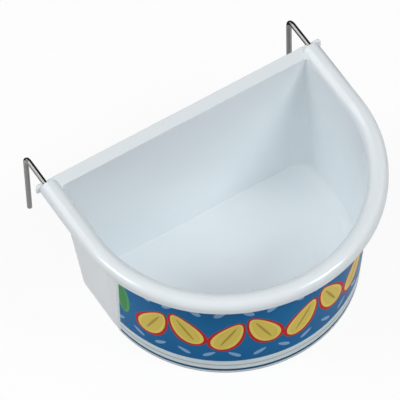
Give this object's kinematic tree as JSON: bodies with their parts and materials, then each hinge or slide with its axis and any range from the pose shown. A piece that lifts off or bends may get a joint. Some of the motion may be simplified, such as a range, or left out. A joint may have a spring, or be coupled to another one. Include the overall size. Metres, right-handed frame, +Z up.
{
  "type": "bird cage seed cup",
  "caption": "Half-round plastic seed cup with a rolled rim, a flat back ledge, bent wire hooks that swivel in the rim's ends, and a printed label round the front.",
  "frame": {"origin": "on the underside of the floor, on the axis of the round front", "axes": "+Z up, +Y to the flat back and the hooks, +X across the cup, to the right as seen from the front"},
  "size_m": [0.1226, 0.106, 0.06],
  "materials": {
    "cup_plastic": "glossy cool-white moulded polystyrene with a faint moulding texture",
    "hook_wire": "bright nickel-plated steel wire with fine drawing lines",
    "label_film": null
  },
  "bodies": {
    "cup_body": {"cup": "cup_plastic", "front_label": "label_film"},
    "left_hook": {"hook_left": "hook_wire"},
    "right_hook": {"hook_right": "hook_wire"}
  },
  "joints": [
    {"name": "hook_left_swivel", "type": "hinge", "parent": "cup_body", "child": "left_hook", "pos_m": [-0.057, 0.0299, 0.0572], "axis": [0, 1, 0], "continuous": true},
    {"name": "hook_right_swivel", "type": "hinge", "parent": "cup_body", "child": "right_hook", "pos_m": [0.057, 0.0299, 0.0572], "axis": [0, 1, 0], "continuous": true}
  ]
}
